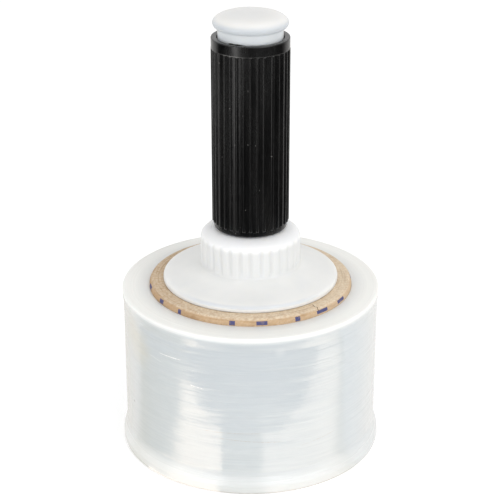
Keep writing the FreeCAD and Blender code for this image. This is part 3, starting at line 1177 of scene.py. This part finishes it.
def tableLight(x, y):
    soft, board = tableView["soft"], tableView["board"]
    jitter = jitterOf(x, y)
    radius = radiusOf(x, y)
    beyondFront = 1.0 - stepMask(y + jitter * board["ragged"], board["front"], soft)
    beyondLeft = 1.0 - stepMask(x, board["left"], soft)
    beside = calc("MAXIMUM", beyondLeft, stepMask(x, board["right"], soft))
    light = tableView["boardLight"]
    for field in tableView["fields"]:
        past = pastLine(x, y, field["from"], field["soft"][0], jitter, field["ragged"][0])
        short = 1.0 - pastLine(x, y, field["to"], field["soft"][1], jitter, field["ragged"][1])
        reach = radius + jitter * tableView["reachRagged"]
        reached = 1.0 - stepMask(reach, field["reach"], tableView["reachSoft"])
        light = mixColour(past * short * reached, light, field["light"])
    light = mixColour(beyondFront, light, tableView["tableLight"])
    light = mixColour(beside, light, tableView["besideLight"])
    onRight = stepMask(x, 0.0, soft)
    backSoft, ragged = tableView["backSoft"], tableView["backRagged"]
    backRight = pastLine(x, y, tableView["backRight"], backSoft, jitter, ragged) * onRight
    backLeft = 1.0 - pastLine(x, y, tableView["backLeft"], backSoft, jitter, ragged)
    back = calc("MAXIMUM", backRight, backLeft * (1.0 - onRight))
    backLight = mixColour(onRight, tableView["backLightLeft"], tableView["backLightRight"])
    return farLight(x, y, mixColour(back, light, backLight))


def makeTableCard():
    card = addSquare("tableCard", tableView["reach"], tableView["height"])
    material = bpy.data.materials.new("tableLight")
    material.use_nodes = True
    tree = material.node_tree
    tree.nodes.clear()
    place = Value(tree.nodes.new("ShaderNodeTexCoord").outputs["Object"])
    x, y, z = split(vectorCalc("MULTIPLY", place, (1 / mm, 1 / mm, 1 / mm)))
    glow = nodeValue("ShaderNodeEmission", {"Color": tableLight(x, y)})
    addNode(tree, "ShaderNodeOutputMaterial", {"Surface": glow})
    card.data.materials.append(material)
    for ray in ("camera", "diffuse", "transmission", "volume_scatter", "shadow"):
        setattr(card, "visible_" + ray, False)


def areaLight(name, azimuth, elevation, distance, size, radiance, colour):
    data = bpy.data.lights.new(name, "AREA")
    data.shape = "RECTANGLE"
    data.size, data.size_y = size
    data.energy = radiance * math.pi * size[0] * size[1]
    data.color = colour
    lamp = bpy.data.objects.new(name, data)
    bpy.context.scene.collection.objects.link(lamp)
    a, e = math.radians(azimuth), math.radians(elevation)
    out = distance * math.cos(e)
    lamp.location = (out * math.sin(a), -out * math.cos(a), lampCentre + distance * math.sin(e))
    lamp.rotation_euler = (math.pi / 2 - e, 0, a)


# height in metres of the point that every lamp faces
lampCentre = 0.1
# azimuth, elevation, distance, size, radiance and colour of each lamp
lamps = {
    "leftBox": (-60, 45, 1.2, (1.0, 0.9), 0.22, (1.0, 0.97, 0.92)),
    "rightBox": (48, 50, 1.2, (0.6, 0.6), 3.2, (1.0, 0.99, 0.97)),
    "topBox": (170, 70, 1.3, (0.9, 0.9), 0.3, (1.0, 0.98, 0.95)),
    "fillLeft": (-48, 4, 1.2, (1.2, 0.4), 2.45, (0.98, 0.99, 1.0)),
    "fillRight": (38, 4, 1.2, (1.2, 0.4), 2.1, (0.98, 0.99, 1.0)),
}
for name, setting in lamps.items():
    areaLight(name, *setting)
makeFloor()
makeTableCard()

world = bpy.data.worlds.new("studio")
bpy.context.scene.world = world
world.use_nodes = True
sky = world.node_tree
feed(sky.nodes["Background"], {
    "Color": (1.0, 1.0, 1.0),
    "Strength": directRay(sky) * (1.0 - stageSizes["skyStrength"]) + stageSizes["skyStrength"],
})

# the camera fitted to the photograph: distance and height in m, pitch in radians, focal length in pixels
view = {
    "distance": 0.664749, "height": 0.382409, "pitch": 0.412, "focal": 1597.149,
    "frame": 500, "sensor": 36.0, "halfPixel": 0.5,
}
cameraData = bpy.data.cameras.new("photoCamera")
cameraData.sensor_width = view["sensor"]
cameraData.lens = view["focal"] / view["frame"] * view["sensor"]
cameraData.shift_x = -view["halfPixel"] / view["frame"]
cameraData.shift_y = view["halfPixel"] / view["frame"]
camera = bpy.data.objects.new("photoCamera", cameraData)
camera.location = (0, -view["distance"], view["height"])
camera.rotation_euler = (math.pi / 2 - view["pitch"], 0, 0)
bpy.context.scene.collection.objects.link(camera)
bpy.context.scene.camera = camera
bpy.context.scene.view_settings.view_transform = "Standard"
print("stage ready")

bpy.context.view_layer.update()
